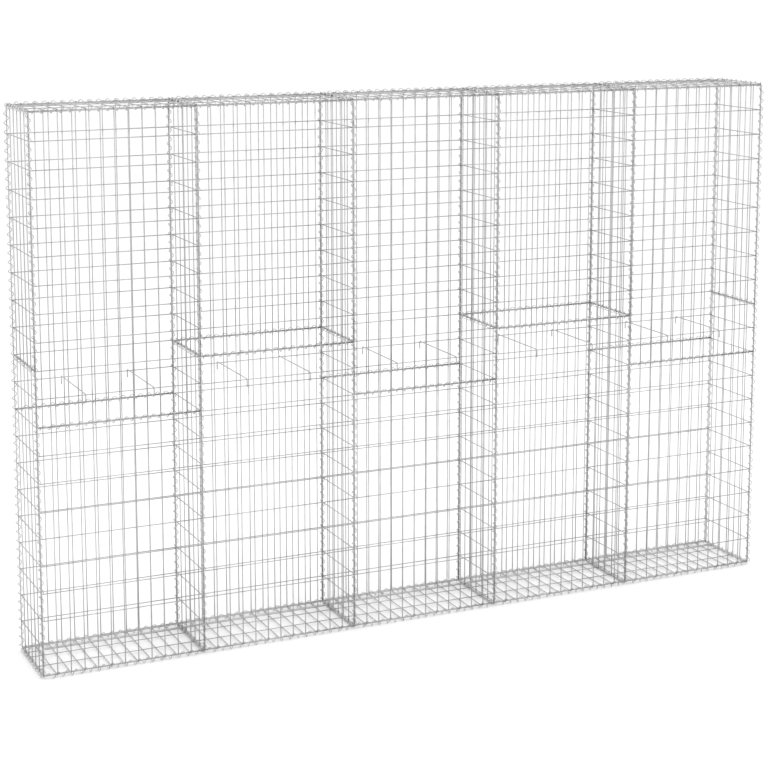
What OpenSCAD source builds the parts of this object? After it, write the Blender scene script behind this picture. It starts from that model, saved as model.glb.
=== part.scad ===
// Gabion wall: a row of empty welded-mesh cages, each with a floor and a lid,
// laced together along every edge with spiral binders and braced with tie hooks.
// X runs along the wall, the front is at -Y and Z is up. The origin is on the
// ground at the middle of the wall.

/* [Mesh] */
// Spacing of the upright wires, and of the wires across the floors and lids
cell_w = 50; // [40:1:80]
// Spacing of the rows
row_h = 100; // [80:1:150]
// Diameter of the mesh wire
wire_d = 3.5; // [2.5:0.1:5]

/* [Wall] */
// Number of bays
bays = 5; // [1:1:6]
// Cells along the wall in each bay
bay_cells = 12; // [6:1:16]
// Cells through the wall
depth_cells = 6; // [4:1:12]
// Rows in the short wall panels
short_rows = 9; // [6:1:10]
// Rows in the long wall panels
long_rows = 11; // [11:1:14]

/* [Spirals] */
// Outer diameter of the spiral binders
spiral_d = 20; // [18:1:36]
// Diameter of the spiral wire
spiral_wire_d = 3; // [2:0.1:4]

/* [Tie hooks] */
// Diameter of the tie wire
tie_d = 4; // [3:0.1:5]
// Row that the ties hook over, counted from the floor
tie_row = 10; // [3:1:10]
// Cells between a bay's side and its nearer tie
tie_cells = 3.5; // [1.5:1:4.5]
// Drop of the hook at each end of a tie
hook_drop = 30; // [15:1:60]
// Radius of the bend above each hook, to the middle of the wire
bend_r = 5; // [4:0.5:8]

/* [Fits] */
// Gap between wires that lie side by side
gap = 0.3; // [0.2:0.1:0.6]
// Clearance beside a mesh wire where it runs out through a spiral
slot_gap = 1; // [0.5:0.1:1.5]

/* [Hidden] */
$fn = 48;
// Each wire is a square bar with about the sectional area of the round wire.
function bar_side(d) = round(10 * d * sqrt(PI) / 2) / 10;
bar = bar_side(wire_d);
tie_bar = bar_side(tie_d);
// Distance between the middles of two wires that lie side by side
pair = bar + gap;
// A side panel's edge wires stand inside the rows of the front and back panels.
side_inset = bar + pair;
panel_w = bay_cells * cell_w;
panel_d = depth_cells * cell_w;
pitch = panel_w + pair;
front_y = -panel_d / 2 - side_inset;
spiral_r = spiral_d / 2;
bore_r = spiral_r - spiral_wire_d;
// The floor's two layers hang below the bottom row, and the spirals round them stand on the ground.
lacing_drop = bar + gap / 2;
foot_z = spiral_r + lacing_drop;
head_z = foot_z + (short_rows + long_rows) * row_h + pair;
wall_h = head_z + foot_z;
// A spiral stops short of the one that it meets at a corner.
corner_gap = spiral_r + gap;

STEEL = "#b4b9bd";
DARK_STEEL = "#9aa1a6";

// An end panel stands at each end, and a divider between each two bays.
function side_name(level, i) =
    i == 0 ? str("left_end_", level, "_panel")
    : i == bays ? str("right_end_", level, "_panel")
    : str("divider_", level, "_panel_", i);
// Middle of the edge wires between bay i and bay i + 1
function line_x(i) = (i - bays / 2) * pitch;
// Rows of a side panel lie on the side that faces the next bay, and at the far end they face back.
function inward(i) = i == bays ? -1 : 1;
// The joint steps up and down from bay to bay, in front and behind.
function lower_rows(bay) = bay % 2 == 1 ? short_rows : long_rows;
function upper_rows(bay) = short_rows + long_rows - lower_rows(bay);
// Height of a panel's bottom row above a joint at this many rows
function above_joint(rows) = foot_z + rows * row_h + pair;
function joint_z(rows) = foot_z + rows * row_h + pair / 2;
// Rows that run along a floor or lid: every second cell, and the last two
function long_wires() = concat([for (i = [0:2:depth_cells - 2]) i], [depth_cells - 1, depth_cells]);
// How far a spiral's axis stands from the face of the wire that it hangs on,
// when that wire's corner is off the axis by h
function reach(h) = sqrt(pow(bore_r - gap, 2) - h * h);

// Bars at us, standing along Z, and bars at vs, lying along X behind them
module mesh(us, vs) {
    left = us[0];
    right = us[len(us) - 1];
    low = vs[0];
    high = vs[len(vs) - 1];
    for (u = us)
        translate([u, 0, (low + high) / 2]) cube([bar, bar, high - low + bar], center = true);
    for (v = vs)
        translate([(left + right) / 2, bar, v]) cube([right - left + bar, bar, bar], center = true);
}

module rows_panel(cells, rows) mesh([for (i = [0:cells]) i * cell_w], [for (j = [0:rows]) j * row_h]);

// One panel of the front, between its two lines
module face_panel(bay, rows, z)
    color(STEEL) translate([line_x(bay - 1) + pair / 2, front_y, z]) rows_panel(bay_cells, rows);

module front_lower_panel(bay) face_panel(bay, lower_rows(bay), foot_z);

module front_upper_panel(bay) face_panel(bay, upper_rows(bay), above_joint(lower_rows(bay)));

module back_lower_panel(bay) mirror([0, 1, 0]) front_lower_panel(bay);

module back_upper_panel(bay) mirror([0, 1, 0]) front_upper_panel(bay);

// One end panel or divider, with its rows facing inward
module side_panel(i, rows, z)
    color(STEEL) translate([line_x(i), 0, z])
        mirror([inward(i) < 0 ? 1 : 0, 0, 0])
        mirror([1, -1, 0])
        translate([-panel_d / 2, 0, 0]) rows_panel(depth_cells, rows);

module side_lower_panel(i) side_panel(i, long_rows, foot_z);

module side_upper_panel(i) side_panel(i, short_rows, above_joint(long_rows));

// Cross wires underneath, with the long wires lying on them
module floor_panel(bay)
    color(STEEL) translate([line_x(bay - 1) + pair / 2, -panel_d / 2, foot_z - bar - pair])
        mirror([0, 1, -1])
        mesh([for (i = [0:bay_cells]) i * cell_w], [for (i = long_wires()) i * cell_w]);

module flipped() translate([0, 0, wall_h]) mirror([0, 0, 1]) children();

module lid_panel(bay) flipped() floor_panel(bay);

// The space that a spiral's turns fill: a sleeve along Z, slotted where mesh wires run
// out of it. Each slot is [direction, offset to its left], and starts collar from each end.
module sleeve(length, collar, slots) {
    slot_w = bar + 2 * slot_gap;
    difference() {
        cylinder(r = spiral_r, h = length);
        translate([0, 0, -1]) cylinder(r = bore_r, h = length + 2);
        for (s = slots)
            rotate(s[0]) translate([0, s[1] - slot_w / 2, collar])
                cube([spiral_r + 1, slot_w, length - 2 * collar]);
    }
}

// Length of slot collar between a spiral's end and the first wire that leaves it
function collar(start, first_wire) = first_wire - bar / 2 - 2 * slot_gap - start;

// Where an upright spiral's axis stands, behind the front uprights
upright_y = side_inset + bar / 2 - reach(bar / 2);

module front_upright_spiral(i) {
    start = bar / 2 + gap;
    row_y = bar - upright_y;
    toward_right = i < bays ? [[0, row_y]] : [];
    toward_left = i > 0 ? [[180, -row_y]] : [];
    to_the_back = [[90, -bar * inward(i)]];
    translate([line_x(i), front_y + upright_y, foot_z + start])
        sleeve(
            head_z - foot_z - 2 * start, collar(start, row_h),
            concat(toward_right, toward_left, to_the_back)
        );
}

module upright_spirals() color(DARK_STEEL)
    for (i = [0:bays]) {
        front_upright_spiral(i);
        mirror([0, 1, 0]) front_upright_spiral(i);
    }

// Along the front of one bay, with its axis at y behind the uprights and at height z
module along_bay(bay, y, z, slots)
    translate([line_x(bay - 1) + corner_gap, front_y + y, z]) rotate([90, 0, 90])
        sleeve(pitch - 2 * corner_gap, collar(corner_gap, pair / 2 + cell_w), slots);

// Through the wall along one side panel, with its axis at x inward of the uprights and at height z
module through_wall(i, x, z, slots) {
    start = upright_y + corner_gap;
    translate([line_x(i) + x * inward(i), -front_y - start, z])
        mirror([inward(i) < 0 ? 1 : 0, 0, 0]) rotate([90, 0, 0])
        sleeve(-2 * (front_y + start), collar(start, side_inset + cell_w), slots);
}

module bottom_spirals() color(DARK_STEEL) {
    y = side_inset + bar / 2 - reach(lacing_drop - pair + bar / 2);
    x = 1.5 * bar - reach(lacing_drop + bar / 2);
    for (bay = [1:bays], back = [0, 1])
        mirror([0, back, 0]) along_bay(bay, y, spiral_r, [[90, y], [0, -bar - gap / 2]]);
    for (i = [0:bays]) {
        outward = i > 0 && i < bays ? [[180, gap / 2]] : [];
        through_wall(i, x, spiral_r, concat([[90, x], [0, -gap / 2]], outward));
    }
}

module joint_spirals() color(DARK_STEEL) {
    in = 1.5 * bar - reach(lacing_drop);
    slots = [[90, in], [270, -in]];
    for (bay = [1:bays], back = [0, 1])
        mirror([0, back, 0]) along_bay(bay, in, joint_z(lower_rows(bay)), slots);
    for (i = [0:bays]) through_wall(i, in, joint_z(long_rows), slots);
}

module top_spirals() flipped() bottom_spirals();

// The front half of one tie, drawn in the plane across the wall: y, then height above its middle
module half_tie_outline(half_l) {
    leg = hook_drop - bend_r;
    translate([-half_l + bend_r, -tie_bar / 2]) square([half_l - bend_r, tie_bar]);
    translate([-half_l + bend_r, -bend_r]) intersection() {
        difference() {
            circle(r = bend_r + tie_bar / 2);
            circle(r = bend_r - tie_bar / 2);
        }
        translate([-2 * bend_r, 0]) square(2 * bend_r);
    }
    translate([-half_l - tie_bar / 2, -bend_r - leg]) square([tie_bar, leg]);
}

// A tie lies on the same row in front and behind, and its hooks drop outside the uprights.
module tie(bay, x) {
    rows = lower_rows(bay);
    row_z = foot_z + tie_row * row_h + (tie_row > rows ? pair : 0);
    half_l = -front_y + bar / 2 + gap + tie_bar / 2;
    translate([x, 0, row_z + bar / 2 + gap + tie_bar / 2]) rotate([90, 0, 90])
        linear_extrude(tie_bar, center = true) {
            half_tie_outline(half_l);
            mirror([1, 0]) half_tie_outline(half_l);
        }
}

module tie_hooks() color(STEEL)
    for (bay = [1:bays], side = [-1, 1])
        tie(bay, line_x(bay - 0.5) + side * (panel_w / 2 - tie_cells * cell_w));

for (i = [1:bays]) {
    front_lower_panel(i);
    front_upper_panel(i);
    back_lower_panel(i);
    back_upper_panel(i);
    floor_panel(i);
    lid_panel(i);
}
for (i = [0:bays]) {
    side_lower_panel(i);
    side_upper_panel(i);
}
upright_spirals();
bottom_spirals();
joint_spirals();
top_spirals();
tie_hooks();
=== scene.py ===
import math

import bmesh
import bpy
from mathutils import Matrix, Vector


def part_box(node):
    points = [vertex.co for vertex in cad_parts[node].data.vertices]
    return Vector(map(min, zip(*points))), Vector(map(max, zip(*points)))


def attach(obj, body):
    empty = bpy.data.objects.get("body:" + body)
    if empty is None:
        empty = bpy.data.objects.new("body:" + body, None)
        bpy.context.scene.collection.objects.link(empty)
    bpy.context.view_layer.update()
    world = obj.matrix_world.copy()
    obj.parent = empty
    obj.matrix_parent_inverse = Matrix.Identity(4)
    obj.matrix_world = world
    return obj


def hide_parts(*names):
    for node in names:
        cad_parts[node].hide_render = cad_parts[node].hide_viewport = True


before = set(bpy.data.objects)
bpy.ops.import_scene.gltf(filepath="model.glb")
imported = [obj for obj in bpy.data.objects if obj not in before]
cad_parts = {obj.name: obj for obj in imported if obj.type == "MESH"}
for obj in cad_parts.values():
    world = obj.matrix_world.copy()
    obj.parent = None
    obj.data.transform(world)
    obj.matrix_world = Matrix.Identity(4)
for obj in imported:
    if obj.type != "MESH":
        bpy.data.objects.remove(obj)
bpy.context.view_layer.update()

# The wall stands on a pale studio floor, in even white light from all round, with one large
# soft lamp above it and weaker ones over its front left and behind. The camera looks at its
# front from the left, and stands a little higher than its top.
scene = bpy.context.scene
scene.view_settings.view_transform = "Standard"
CAMERA_PLACE = (-3.098, -6.467, 2.576)
CAMERA_HEADING = math.radians(24.83)
CAMERA_DIP = math.radians(8.57)
CAMERA_LENS = 88.6  # in mm
LENS_SHIFT = -0.2  # downwards, as a share of the picture's width
SKY_STRENGTH = 1.1
LAMP_AIM = (0, 0, 1)  # about the middle of the wall
FLOOR_HALF = 30.0
FLOOR_COLOUR = (0.93, 0.93, 0.93, 1)
FLOOR_ROUGHNESS = 0.9
camera = bpy.data.objects.new("camera", bpy.data.cameras.new("camera"))
scene.collection.objects.link(camera)
camera.location = CAMERA_PLACE
camera.rotation_euler = (math.pi / 2 - CAMERA_DIP, 0, -CAMERA_HEADING)
camera.data.lens = CAMERA_LENS
camera.data.shift_y = LENS_SHIFT
scene.camera = camera

world = bpy.data.worlds.new("studio")
scene.world = world
world.use_nodes = True
sky = world.node_tree.nodes["Background"]
sky.inputs["Color"].default_value = (1, 1, 1, 1)
sky.inputs["Strength"].default_value = SKY_STRENGTH


def lamp(name, place, size, watts):
    """A round soft lamp at place, pointed at the wall."""
    light = bpy.data.lights.new(name, "AREA")
    light.shape, light.size, light.energy = "DISK", size, watts
    holder = bpy.data.objects.new(name, light)
    holder.location = place
    holder.rotation_euler = (Vector(LAMP_AIM) - Vector(place)).to_track_quat("-Z", "Y").to_euler()
    scene.collection.objects.link(holder)


lamp("overhead_lamp", (-0.8, -1.2, 6.0), 3.5, 60)
lamp("front_lamp", (-3.5, -4.5, 5.0), 3.0, 30)
lamp("back_lamp", (4.0, 3.5, 4.5), 3.0, 20)


def mesh_of(shape, name):
    """Turns a finished shape into a mesh."""
    mesh = bpy.data.meshes.new(name)
    shape.to_mesh(mesh)
    shape.free()
    return mesh


ground = bmesh.new()
bmesh.ops.create_grid(ground, x_segments=1, y_segments=1, size=FLOOR_HALF)
floor = bpy.data.objects.new("studio_floor", mesh_of(ground, "studio_floor"))
scene.collection.objects.link(floor)
pale = bpy.data.materials.new("pale floor")
pale.use_nodes = True
paint = pale.node_tree.nodes["Principled BSDF"]
paint.inputs["Base Color"].default_value = FLOOR_COLOUR
paint.inputs["Roughness"].default_value = FLOOR_ROUGHNESS
floor.data.materials.append(pale)

# The floors, lids, walls, ends and dividers are flat panels of drawn and galvanised steel
# wire. Straight wires run over a second layer of wires and are welded wherever they cross,
# which leaves a small nugget in each crossing, and the ends are sheared flush.
WIRE_RADIUS = 0.00175
LAYER_STEP = 0.0031  # between the middles of the two layers, which the weld presses together
CELL_WIDTH = 0.05
ROW_HEIGHT = 0.1
WIRE_SIDES = 12
NUGGET_WIDTH = 0.0024  # half of it, along the two wires
NUGGET_DEPTH = 0.0015  # half of it, through the panel
NUGGET_SIDES = (8, 4)
BAYS = 5
BAY_LENGTH = 0.6  # between the middles of its edge wires
WALL_DEPTH = 0.3  # between the middles of a side panel's edge wires
LONG_WIRES = (0, 2, 4, 5, 6)  # the cells of a floor or lid at which a wire runs along the wall
FLECK_TONE = 0.75  # a fleck's colour, as a share of the dull one
FLECK_COVER = 0.6  # how much of the colour under it a fleck hides
STREAK_SMOOTH, STREAK_ROUGH = 0.1, 0.14  # what the streaks take off the roughness, and add to it
STREAK_STRENGTH = 0.35
STREAK_DEPTH = 0.0002


def zinc_coat():
    """Cloudy patina, drawing streaks and dull flecks of a zinc coat, from a place on it."""
    group = bpy.data.node_groups.new("zinc coat", "ShaderNodeTree")
    for name in ("Cloud scale", "Streak scale", "Fleck scale"):
        group.interface.new_socket(name, in_out="INPUT", socket_type="NodeSocketFloat")
    group.interface.new_socket("Place", in_out="INPUT", socket_type="NodeSocketVector")
    for name in ("Cloud", "Streak", "Fleck"):
        group.interface.new_socket(name, in_out="OUTPUT", socket_type="NodeSocketFloat")
    nodes, links = group.nodes, group.links
    start, end = nodes.new("NodeGroupInput"), nodes.new("NodeGroupOutput")
    cloud = nodes.new("ShaderNodeTexNoise")
    cloud.inputs["Detail"].default_value = 4
    streak = nodes.new("ShaderNodeTexNoise")
    streak.inputs["Detail"].default_value = 3
    streak.inputs["Distortion"].default_value = 0.6
    fleck = nodes.new("ShaderNodeTexVoronoi")
    sharpen = nodes.new("ShaderNodeMapRange")
    sharpen.inputs["From Min"].default_value = 0.12
    sharpen.inputs["From Max"].default_value = 0.34
    sharpen.inputs["To Min"].default_value = 1.0
    sharpen.inputs["To Max"].default_value = 0.0
    for node, scale in ((cloud, "Cloud scale"), (streak, "Streak scale"), (fleck, "Fleck scale")):
        links.new(start.outputs["Place"], node.inputs["Vector"])
        links.new(start.outputs[scale], node.inputs["Scale"])
    links.new(fleck.outputs["Distance"], sharpen.inputs["Value"])
    links.new(cloud.outputs["Fac"], end.inputs["Cloud"])
    links.new(streak.outputs["Fac"], end.inputs["Streak"])
    links.new(sharpen.outputs["Result"], end.inputs["Fleck"])
    return group


ZINC_COAT = zinc_coat()


def zinc_material(name, bright, dull, metallic, rough, scales):
    """Galvanised steel: bright and dull are the colours that its clouds run between."""
    material = bpy.data.materials.new(name)
    material.use_nodes = True
    nodes, links = material.node_tree.nodes, material.node_tree.links
    steel = nodes["Principled BSDF"]
    steel.inputs["Metallic"].default_value = metallic
    place = nodes.new("ShaderNodeTexCoord")
    coat = nodes.new("ShaderNodeGroup")
    coat.node_tree = ZINC_COAT
    for socket, value in zip(("Cloud scale", "Streak scale", "Fleck scale"), scales):
        coat.inputs[socket].default_value = value
    links.new(place.outputs["Object"], coat.inputs["Place"])
    tone = nodes.new("ShaderNodeMix")
    tone.data_type = "RGBA"
    tone.inputs["A"].default_value = (*dull, 1)
    tone.inputs["B"].default_value = (*bright, 1)
    clouds = nodes.new("ShaderNodeMapRange")
    clouds.inputs["From Min"].default_value = 0.3
    clouds.inputs["From Max"].default_value = 0.7
    links.new(coat.outputs["Cloud"], clouds.inputs["Value"])
    links.new(clouds.outputs["Result"], tone.inputs["Factor"])
    flecked = nodes.new("ShaderNodeMix")
    flecked.data_type = "RGBA"
    flecked.inputs["B"].default_value = (*[FLECK_TONE * c for c in dull], 1)
    fade = nodes.new("ShaderNodeMath")
    fade.operation = "MULTIPLY"
    fade.inputs[1].default_value = FLECK_COVER
    links.new(coat.outputs["Fleck"], fade.inputs[0])
    links.new(fade.outputs["Value"], flecked.inputs["Factor"])
    links.new(tone.outputs["Result"], flecked.inputs["A"])
    links.new(flecked.outputs["Result"], steel.inputs["Base Color"])
    gloss = nodes.new("ShaderNodeMapRange")
    gloss.inputs["To Min"].default_value = rough - STREAK_SMOOTH
    gloss.inputs["To Max"].default_value = rough + STREAK_ROUGH
    links.new(coat.outputs["Streak"], gloss.inputs["Value"])
    links.new(gloss.outputs["Result"], steel.inputs["Roughness"])
    bump = nodes.new("ShaderNodeBump")
    bump.inputs["Strength"].default_value = STREAK_STRENGTH
    bump.inputs["Distance"].default_value = STREAK_DEPTH
    links.new(coat.outputs["Streak"], bump.inputs["Height"])
    links.new(bump.outputs["Normal"], steel.inputs["Normal"])
    return material


MESH_ZINC = zinc_material(
    "galvanised mesh wire", (0.52, 0.515, 0.52), (0.37, 0.365, 0.37), 0.55, 0.42, (18, 420, 240)
)
WELD_ZINC = zinc_material(
    "welded crossing", (0.425, 0.42, 0.425), (0.31, 0.305, 0.31), 0.4, 0.55, (60, 900, 500)
)
CUT_STEEL = zinc_material(
    "sheared wire end", (0.34, 0.34, 0.35), (0.22, 0.21, 0.21), 0.8, 0.38, (90, 1500, 700)
)


def lay_wire(panel, start, end, radius):
    """One straight wire with sheared ends."""
    along = end - start
    turn = along.to_track_quat("Z", "Y").to_matrix().to_4x4()
    made = bmesh.ops.create_cone(
        panel, cap_ends=True, segments=WIRE_SIDES, radius1=radius, radius2=radius,
        depth=along.length, matrix=Matrix.Translation((start + end) / 2) @ turn,
    )
    for face in {f for v in made["verts"] for f in v.link_faces}:
        face.smooth = len(face.verts) == 4
        face.material_index = 0 if face.smooth else 2


def lay_nugget(panel, place, through):
    """The weld between two crossing wires, thinnest through the panel."""
    size = [NUGGET_WIDTH] * 3
    size[through] = NUGGET_DEPTH
    made = bmesh.ops.create_uvsphere(
        panel, u_segments=NUGGET_SIDES[0], v_segments=NUGGET_SIDES[1], radius=1,
        matrix=Matrix.Translation(place) @ Matrix.Diagonal((*size, 1)),
    )
    for face in {f for v in made["verts"] for f in v.link_faces}:
        face.smooth = True
        face.material_index = 1


def place_piece(name, mesh, materials, nodes):
    """Puts a mesh on the wall's body as a piece, in place of its plain CAD nodes."""
    piece = bpy.data.objects.new(name, mesh)
    for material in materials:
        mesh.materials.append(material)
    scene.collection.objects.link(piece)
    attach(piece, "root")
    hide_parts(*nodes)


panel_shapes = {}  # each shape is made once, and its copies go where the CAD's panels are


def weld_panel(name, node, across, along, outer, spots, spans):
    """A panel in a CAD node's box. Its outer wires run along one axis and stand at spots
    across it, and its inner wires stand at spans along it. outer is the axis through the
    panel, and the side of it that the outer wires lie on."""
    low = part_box(node)[0]
    kind = (across, along, outer, len(spots), len(spans))
    if kind not in panel_shapes:
        panel_shapes[kind] = panel_shape(across, along, outer, spots, spans)
    mesh = panel_shapes[kind].copy()
    mesh.transform(Matrix.Translation(low))
    place_piece(name, mesh, (MESH_ZINC, WELD_ZINC, CUT_STEEL), [node])


def panel_shape(across, along, outer, spots, spans):
    """The mesh of a panel whose box has its low corner at the origin. The middles of its
    outermost wires lie half a step inside the box."""
    panel = bmesh.new()
    through, side = outer
    half = LAYER_STEP / 2
    outer_at = half if side < 0 else half + LAYER_STEP
    inner_at = outer_at - side * LAYER_STEP
    width, length = spots[-1] + LAYER_STEP, spans[-1] + LAYER_STEP

    def point(a, b, depth):
        place = Vector((0, 0, 0))
        place[across], place[along], place[through] = a, b, depth
        return place

    for spot in spots:
        lay_wire(panel, point(half + spot, 0, outer_at), point(half + spot, length, outer_at), WIRE_RADIUS)
    for span in spans:
        lay_wire(panel, point(0, half + span, inner_at), point(width, half + span, inner_at), WIRE_RADIUS)
    for spot in spots:
        for span in spans:
            lay_nugget(panel, point(half + spot, half + span, (outer_at + inner_at) / 2), through)
    return mesh_of(panel, "panel")


def steps(length, step):
    """Distances from 0 to length, a step apart."""
    return [k * step for k in range(round(length / step) + 1)]


X, Y, Z = range(3)
BAY_SPOTS = steps(BAY_LENGTH, CELL_WIDTH)
END_SPOTS = steps(WALL_DEPTH, CELL_WIDTH)
LONG_SPOTS = [k * CELL_WIDTH for k in LONG_WIRES]
for bay in range(1, BAYS + 1):
    weld_panel(f"floor_mesh_{bay}", f"floor_panel_{bay}", X, Y, (Z, -1), BAY_SPOTS, LONG_SPOTS)
    weld_panel(f"lid_mesh_{bay}", f"lid_panel_{bay}", X, Y, (Z, 1), BAY_SPOTS, LONG_SPOTS)
    for face, outward in (("front", -1), ("back", 1)):
        for level in ("lower", "upper"):
            node = f"{face}_{level}_panel_{bay}"
            low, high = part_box(node)
            rows = steps(high.z - low.z, ROW_HEIGHT)
            weld_panel(f"{face}_{level}_mesh_{bay}", node, X, Z, (Y, outward), BAY_SPOTS, rows)
for level in ("lower", "upper"):
    sides = [("left_end", "", -1)]
    sides += [("divider", f"_{i}", -1) for i in range(1, BAYS)]
    sides += [("right_end", "", 1)]
    for side, number, outward in sides:
        node = f"{side}_{level}_panel{number}"
        low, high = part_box(node)
        rows = steps(high.z - low.z, ROW_HEIGHT)
        weld_panel(f"{side}_{level}_mesh{number}", node, Y, Z, (X, outward), END_SPOTS, rows)

# Spiral binders lace the panels together along every edge. Each is a long coil of
# galvanised wire that is screwed round the edge wires of all the panels that meet there,
# three turns to two cells, and its ends are cut off just short of the corner.
COIL_RADIUS = 0.0085  # to the middle of the coiled wire
COIL_WIRE = 0.0015  # radius of the wire
TURN_LENGTH = 2 * CELL_WIDTH / 3
TURN_STEPS = 16
COIL_SIDES = 8
SPIRAL_ZINC = zinc_material(
    "galvanised spiral wire", (0.65, 0.645, 0.65), (0.47, 0.465, 0.47), 0.6, 0.4, (30, 500, 300)
)


def finish_rod(rod, name):
    """Shears the two open ends of a bent or coiled wire, and returns its mesh."""
    for face in rod.faces:
        face.smooth = True
    ends = bmesh.ops.holes_fill(rod, edges=[e for e in rod.edges if e.is_boundary], sides=0)
    for face in ends["faces"]:
        face.material_index = 1
    bmesh.ops.recalc_face_normals(rod, faces=rod.faces)
    return mesh_of(rod, name)


def wind_coil(length):
    """A right-handed coil round Z, from the origin up, whose first turn starts on +X."""
    coil = bmesh.new()
    reach = length - 2 * COIL_WIRE
    slope = math.atan2(TURN_LENGTH, 2 * math.pi * COIL_RADIUS)
    tilt = Matrix.Rotation(slope - math.pi / 2, 4, "X")
    bmesh.ops.create_circle(
        coil, segments=COIL_SIDES, radius=COIL_WIRE,
        matrix=Matrix.Translation((COIL_RADIUS, 0, COIL_WIRE)) @ tilt,
    )
    count = round(TURN_STEPS * reach / TURN_LENGTH)
    bmesh.ops.spin(
        coil, geom=coil.verts[:] + coil.edges[:], cent=(0, 0, 0), axis=(0, 0, 1),
        dvec=(0, 0, reach / count), angle=2 * math.pi * reach / TURN_LENGTH, steps=count,
    )
    return finish_rod(coil, "coil")


def screw_in(spirals, coil, start, axis, wire_at, turn_at_wire):
    """Adds a coil that starts at start and runs along axis. Where it passes the mesh wire
    that is wire_at along it, its turn points in the direction turn_at_wire."""
    back = Matrix.Rotation(-2 * math.pi * (wire_at - COIL_WIRE) / TURN_LENGTH, 3, axis)
    first = back @ turn_at_wire.normalized()
    turn = Matrix((first, axis.cross(first), axis)).transposed().to_4x4()
    old = len(spirals.verts)
    spirals.from_mesh(coil)
    spirals.verts.ensure_lookup_table()
    bmesh.ops.transform(spirals, matrix=Matrix.Translation(start) @ turn, verts=spirals.verts[old:])


def polar(degrees, right, up):
    """The direction that is turned by degrees from right towards up."""
    return math.cos(math.radians(degrees)) * right + math.sin(math.radians(degrees)) * up


EAST, NORTH, UP = Vector((1, 0, 0)), Vector((0, 1, 0)), Vector((0, 0, 1))
SHORT_ROWS, LONG_ROWS = 9, 11  # the rows in the short and the long panels
PAIR_HALF = 0.0017  # half the step between two edge wires that are laced side by side
LINE_STEP = BAY_LENGTH + 2 * PAIR_HALF  # from the line at one side of a bay to the next
FACE_Y = 0.1565  # from the middle of the wall to the upright wires of its front and back
CORNER_GAP = 0.0103  # from a line, or an upright spiral's axis, to the end of a spiral there
FOOT_ROW = 0.01325  # the height of the bottom row
SHORT_JOINT = FOOT_ROW + SHORT_ROWS * ROW_HEIGHT + PAIR_HALF
LONG_JOINT = FOOT_ROW + LONG_ROWS * ROW_HEIGHT + PAIR_HALF
HEAD_ROW = FOOT_ROW + (SHORT_ROWS + LONG_ROWS) * ROW_HEIGHT + 2 * PAIR_HALF
lines = [(i - BAYS / 2) * LINE_STEP for i in range(BAYS + 1)]

UPRIGHT_INSET = 0.00153  # from those upright wires in to an upright spiral's axis
UPRIGHT_AXIS = FACE_Y - UPRIGHT_INSET
UPRIGHT_GAP = 0.00185  # from the bottom row up to a spiral's foot, and the top row down to its head
ROW_TURN = 18  # degrees that the turn at a row stands off straight outward


def place_spirals(which, spirals):
    """Places a group of spirals as one piece."""
    mesh = mesh_of(spirals, f"{which}_coils")
    place_piece(f"{which}_coils", mesh, (SPIRAL_ZINC, CUT_STEEL), [f"{which}_spirals"])


upright_coil = wind_coil(HEAD_ROW - FOOT_ROW - 2 * UPRIGHT_GAP)
uprights = bmesh.new()
for x in lines:
    for out in (-1, 1):
        start = Vector((x, out * UPRIGHT_AXIS, FOOT_ROW + UPRIGHT_GAP))
        turn = polar(ROW_TURN, out * NORTH, out * EAST)
        screw_in(uprights, upright_coil, start, UP, -UPRIGHT_GAP, turn)
place_spirals("upright", uprights)

bay_coil = wind_coil(LINE_STEP - 2 * CORNER_GAP)
wall_coil = wind_coil(2 * (UPRIGHT_AXIS - CORNER_GAP))


def lace_bay(spirals, i, axis_y, z, turn, upward):
    """The two spirals along one bay, in front and behind. turn is in degrees from inward."""
    for inward in (NORTH, -NORTH):
        start = Vector((lines[i] + CORNER_GAP, -inward.y * axis_y, z))
        wire = PAIR_HALF + CELL_WIDTH - CORNER_GAP
        screw_in(spirals, bay_coil, start, EAST, wire, polar(turn, inward, upward))


def lace_through(spirals, i, axis_x, z, turn, upward):
    """The spiral through the wall along a side panel, from the back to the front."""
    inward = -EAST if i == BAYS else EAST
    start_y = UPRIGHT_AXIS - CORNER_GAP
    start = Vector((lines[i] + inward.x * axis_x, start_y, z))
    wire = start_y - WALL_DEPTH / 2 + CELL_WIDTH
    screw_in(spirals, wall_coil, start, -NORTH, wire, polar(turn, inward, upward))


EDGE_AXIS_Y = 0.15500  # from the middle of the wall to the axis of a spiral along a bay
EDGE_AXIS_X = -0.000024  # from a line inward to the axis of a spiral through the wall
EDGE_AXIS_Z = COIL_RADIUS + COIL_WIRE  # the bottom spirals lie on the ground
EDGE_TURN_Y, EDGE_TURN_X = 38.8, 135.4  # degrees to their turns, along a bay and through the wall
WALL_TOP = HEAD_ROW + FOOT_ROW
for level, z, upward in (("bottom", EDGE_AXIS_Z, UP), ("top", WALL_TOP - EDGE_AXIS_Z, -UP)):
    spirals = bmesh.new()
    for bay in range(BAYS):
        lace_bay(spirals, bay, EDGE_AXIS_Y, z, EDGE_TURN_Y, upward)
    for i in range(BAYS + 1):
        lace_through(spirals, i, EDGE_AXIS_X, z, EDGE_TURN_X, upward)
    place_spirals(level, spirals)

JOINT_AXIS_Y, JOINT_AXIS_X = 0.15771, -0.001209  # the same distances, between the panels
JOINT_TURN = 0
joints = bmesh.new()
for bay in range(BAYS):
    height = SHORT_JOINT if bay % 2 == 0 else LONG_JOINT
    lace_bay(joints, bay, JOINT_AXIS_Y, height, JOINT_TURN, UP)
for i in range(BAYS + 1):
    lace_through(joints, i, JOINT_AXIS_X, LONG_JOINT, JOINT_TURN, UP)
place_spirals("joint", joints)

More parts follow.
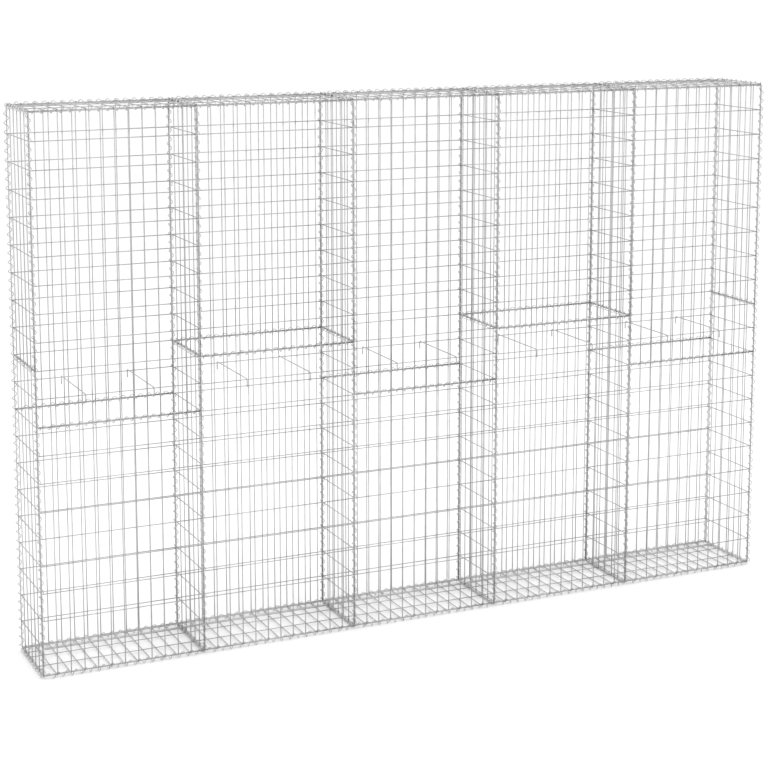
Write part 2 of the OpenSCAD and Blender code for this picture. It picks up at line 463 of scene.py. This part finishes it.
# Two tie hooks in each bay hold its front and back together while it is filled. Each is a
# straight galvanised rod that lies over a row wire in front and behind, with both ends bent
# down outside them.
TIE_RADIUS = 0.002
TIE_SIDES = 12
TIE_OFFSET = 0.125  # from the middle of the bay
TIE_HALF = 0.1601  # from the middle of the wall to the middle of a hook's leg
TIE_OVER_ROW = 0.0038  # from the middle of the row to the middle of the rod
HOOK_DROP = 0.03
BEND_RADIUS = 0.005
BEND_STEPS = 6
ROWS_BELOW_TIE = 10
TIE_ZINC = zinc_material(
    "galvanised tie rod", (0.5, 0.495, 0.5), (0.35, 0.345, 0.35), 0.6, 0.36, (25, 600, 260)
)


def draw_on(rod, edges, step):
    """Extrudes the open end of a rod along step, and returns the new end."""
    grown = bmesh.ops.extrude_edge_only(rod, edges=edges)["geom"]
    bmesh.ops.translate(rod, verts=[g for g in grown if isinstance(g, bmesh.types.BMVert)], vec=step)
    return [g for g in grown if isinstance(g, bmesh.types.BMEdge)]


def bend_down(rod, edges, centre):
    """Bends the open end of a rod a quarter turn over the X axis, towards the front."""
    bent = bmesh.ops.spin(
        rod, geom=edges + list({v for e in edges for v in e.verts}), cent=centre, axis=(1, 0, 0),
        angle=math.pi / 2, steps=BEND_STEPS,
    )["geom_last"]
    return [g for g in bent if isinstance(g, bmesh.types.BMEdge)]


ties = bmesh.new()
for bay in range(BAYS):
    middle = (lines[bay] + lines[bay + 1]) / 2
    joint_lift = 2 * PAIR_HALF if bay % 2 == 0 else 0  # where the joint is below the ties
    z = FOOT_ROW + ROWS_BELOW_TIE * ROW_HEIGHT + joint_lift + TIE_OVER_ROW
    for x in (middle - TIE_OFFSET, middle + TIE_OFFSET):
        rod = bmesh.new()
        bmesh.ops.create_circle(
            rod, segments=TIE_SIDES, radius=TIE_RADIUS,
            matrix=Matrix.Translation((x, TIE_HALF, z - HOOK_DROP)),
        )
        leg, bend_y = HOOK_DROP - BEND_RADIUS, TIE_HALF - BEND_RADIUS
        end = draw_on(rod, rod.edges[:], Vector((0, 0, leg)))
        end = bend_down(rod, end, (x, bend_y, z - BEND_RADIUS))
        end = draw_on(rod, end, Vector((0, -2 * bend_y, 0)))
        end = bend_down(rod, end, (x, -bend_y, z - BEND_RADIUS))
        draw_on(rod, end, Vector((0, 0, -leg)))
        ties.from_mesh(finish_rod(rod, "tie"))
place_piece("tie_rods", mesh_of(ties, "tie_rods"), (TIE_ZINC, CUT_STEEL), ["tie_hooks"])
